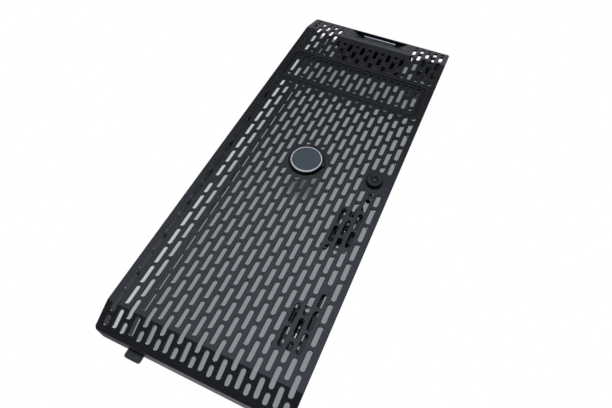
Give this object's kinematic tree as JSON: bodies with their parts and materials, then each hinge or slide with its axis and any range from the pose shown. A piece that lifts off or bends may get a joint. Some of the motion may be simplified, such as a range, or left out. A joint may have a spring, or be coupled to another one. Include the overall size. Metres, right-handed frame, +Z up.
{
  "type": "server front bezel",
  "caption": "Slotted front bezel for a tower server, with bay panel, sliding release latch, tubular key lock, turning badge and spare keys behind.",
  "frame": {"origin": "middle of the rear rim at the foot, on the plane that meets the chassis", "axes": "+X right as seen from the front, +Y rearwards out of the rim, +Z up"},
  "size_m": [0.176, 0.0325, 0.4552],
  "materials": {
    "charcoal_plastic": "fine satin moulded",
    "dark_plastic": "satin moulded",
    "black_plastic": "soft gloss",
    "bright_metal": "satin",
    "badge_paint": "satin metallic paint",
    "lock_metal": "zinc plated",
    "key_metal": "nickel plated brass",
    "spring_steel": "zinc plated"
  },
  "bodies": {
    "bezel": {"bezel_shell": "charcoal_plastic", "bay_panel": "charcoal_plastic", "latch_housing": "dark_plastic", "latch_springs": "spring_steel", "lock_body": "charcoal_plastic", "lock_clip": "spring_steel", "upper_key_holder": "dark_plastic", "lower_key_holder": "dark_plastic", "upper_key_bow": "black_plastic", "lower_key_bow": "black_plastic", "upper_key_barrel": "key_metal", "lower_key_barrel": "key_metal", "key_ring": "spring_steel", "corner_block": "dark_plastic", "fixing_screws": "spring_steel"},
    "latch": {"release_latch": "charcoal_plastic", "latch_strip": "bright_metal"},
    "lock_barrel": {"lock_core": "lock_metal", "lock_cam": "lock_metal", "lock_cam_screw": "spring_steel"},
    "badge": {"badge_carrier": "dark_plastic", "badge_ring": "bright_metal", "badge_disc": "badge_paint", "badge_washer": "spring_steel"}
  },
  "joints": [
    {"name": "latch_slide", "type": "slide", "parent": "bezel", "child": "latch", "axis": [0, 0, 1], "range_m": [0, 0.005], "stiffness_N_per_m": 600, "springref_m": -0.002, "deforming": ["latch_springs"]},
    {"name": "lock_turn", "type": "hinge", "parent": "bezel", "child": "lock_barrel", "pos_m": [0.0698, -0.022, 0.2263], "axis": [0, -1, 0], "range_deg": [0, 90]},
    {"name": "badge_turn", "type": "hinge", "parent": "bezel", "child": "badge", "pos_m": [0, -0.022, 0.2228], "axis": [0, -1, 0], "range_deg": [0, 90]}
  ]
}
